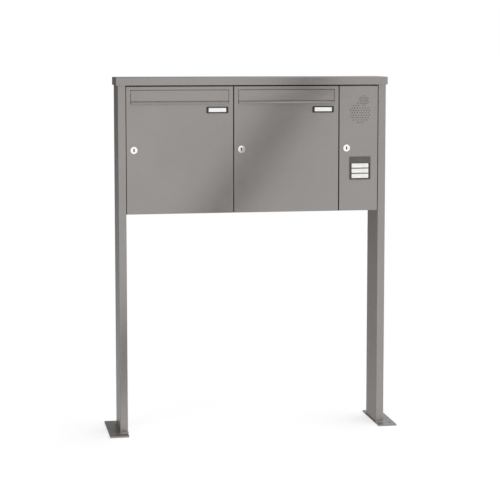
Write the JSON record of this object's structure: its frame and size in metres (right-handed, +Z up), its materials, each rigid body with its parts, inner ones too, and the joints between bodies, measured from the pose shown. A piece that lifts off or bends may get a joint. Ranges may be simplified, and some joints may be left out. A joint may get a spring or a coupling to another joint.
{
  "type": "letterbox unit on posts",
  "caption": "Free-standing letterbox unit: tall parcel-depth letterboxes and a bell compartment with push buttons and speech grille, between flat posts on base plates, under a folded roof cap.",
  "frame": {"origin": "on the ground, centred under the unit", "axes": "+Z up, +X to the right seen from the front, the doors face -Y"},
  "size_m": [1.01, 0.232, 1.226],
  "materials": {
    "powder_coat": "semi-gloss metallic grey powder coat",
    "zinc_steel": "bright zinc plating",
    "bright_plating": "satin chrome plating",
    "black_plastic": "fine-textured moulding",
    "taupe_plastic": "satin moulding",
    "white_plastic": "smooth",
    "black_rubber": "matt",
    "circuit_board": "solder mask"
  },
  "bodies": {
    "frame": {"left_post": "powder_coat", "right_post": "powder_coat", "left_base_plate": "powder_coat", "right_base_plate": "powder_coat", "roof_cap": "powder_coat", "cap_screws": "zinc_steel", "left_letterbox": "powder_coat", "right_letterbox": "powder_coat", "bell_cabinet": "powder_coat", "housing_screws": "zinc_steel", "housing_nuts": "zinc_steel", "hinge_tabs": "powder_coat", "joint_seals": "black_rubber", "door_buffers": "black_rubber", "left_letter_baffle": "powder_coat", "right_letter_baffle": "powder_coat", "cable_grommet": "black_rubber", "terminal_block": "white_plastic"},
    "left_door_leaf": {"left_door": "powder_coat", "left_hinge_pins": "zinc_steel", "left_flap_bearings": "black_plastic", "left_nameplate_frame": "black_plastic", "left_name_label": "white_plastic", "left_lock_barrel": "bright_plating", "left_lock_nut": "zinc_steel"},
    "left_flap_leaf": {"left_flap": "powder_coat", "left_flap_rod": "zinc_steel"},
    "left_lock_core": {"left_lock_plug": "bright_plating", "left_lock_cam": "zinc_steel", "left_cam_screw": "zinc_steel"},
    "right_door_leaf": {"right_door": "powder_coat", "right_hinge_pins": "zinc_steel", "right_flap_bearings": "black_plastic", "right_nameplate_frame": "black_plastic", "right_name_label": "white_plastic", "right_lock_barrel": "bright_plating", "right_lock_nut": "zinc_steel"},
    "right_flap_leaf": {"right_flap": "powder_coat", "right_flap_rod": "zinc_steel"},
    "right_lock_core": {"right_lock_plug": "bright_plating", "right_lock_cam": "zinc_steel", "right_cam_screw": "zinc_steel"},
    "bell_door_leaf": {"bell_door": "powder_coat", "bell_hinge_pins": "zinc_steel", "bell_lock_barrel": "bright_plating", "bell_lock_nut": "zinc_steel", "bell_panel_frame": "taupe_plastic", "bell_header_plate": "taupe_plastic", "bell_panel_tray": "black_plastic", "bell_panel_screws": "zinc_steel", "bell_contact_board": "circuit_board", "speaker_unit": "black_plastic", "microphone_unit": "black_plastic"},
    "bell_lock_core": {"bell_lock_plug": "bright_plating", "bell_lock_cam": "zinc_steel", "bell_cam_screw": "zinc_steel"},
    "bell_push_1": {"bell_button_1": "white_plastic"},
    "bell_push_2": {"bell_button_2": "white_plastic"},
    "bell_push_3": {"bell_button_3": "white_plastic"}
  },
  "joints": [
    {"name": "left_door_hinge", "type": "hinge", "parent": "frame", "child": "left_door_leaf", "pos_m": [-0.0835, -0.067, 0.978], "axis": [0, 0, 1], "range_deg": [0, 100]},
    {"name": "left_lock_turn", "type": "hinge", "parent": "left_door_leaf", "child": "left_lock_core", "pos_m": [-0.413, -0.0735, 0.9795], "axis": [0, 1, 0], "range_deg": [0, 90]},
    {"name": "right_door_hinge", "type": "hinge", "parent": "frame", "child": "right_door_leaf", "pos_m": [0.2865, -0.067, 0.978], "axis": [0, 0, 1], "range_deg": [0, 100]},
    {"name": "right_lock_turn", "type": "hinge", "parent": "right_door_leaf", "child": "right_lock_core", "pos_m": [-0.043, -0.0735, 0.9795], "axis": [0, 1, 0], "range_deg": [0, 90]},
    {"name": "bell_door_hinge", "type": "hinge", "parent": "frame", "child": "bell_door_leaf", "pos_m": [0.4265, -0.067, 0.978], "axis": [0, 0, 1], "range_deg": [0, 100]},
    {"name": "bell_lock_turn", "type": "hinge", "parent": "bell_door_leaf", "child": "bell_lock_core", "pos_m": [0.327, -0.0735, 0.9795], "axis": [0, 1, 0], "range_deg": [0, 90]},
    {"name": "left_flap_hinge", "type": "hinge", "parent": "left_door_leaf", "child": "left_flap_leaf", "pos_m": [-0.255, -0.0685, 1.1731], "axis": [-1, 0, 0], "range_deg": [0, 75]},
    {"name": "right_flap_hinge", "type": "hinge", "parent": "right_door_leaf", "child": "right_flap_leaf", "pos_m": [0.115, -0.0685, 1.1731], "axis": [-1, 0, 0], "range_deg": [0, 75]},
    {"name": "bell_button_1_press", "type": "slide", "parent": "bell_door_leaf", "child": "bell_push_1", "axis": [0, 1, 0], "range_m": [0, 0.0015], "stiffness_N_per_m": 1200},
    {"name": "bell_button_2_press", "type": "slide", "parent": "bell_door_leaf", "child": "bell_push_2", "axis": [0, 1, 0], "range_m": [0, 0.0015], "stiffness_N_per_m": 1200},
    {"name": "bell_button_3_press", "type": "slide", "parent": "bell_door_leaf", "child": "bell_push_3", "axis": [0, 1, 0], "range_m": [0, 0.0015], "stiffness_N_per_m": 1200}
  ]
}
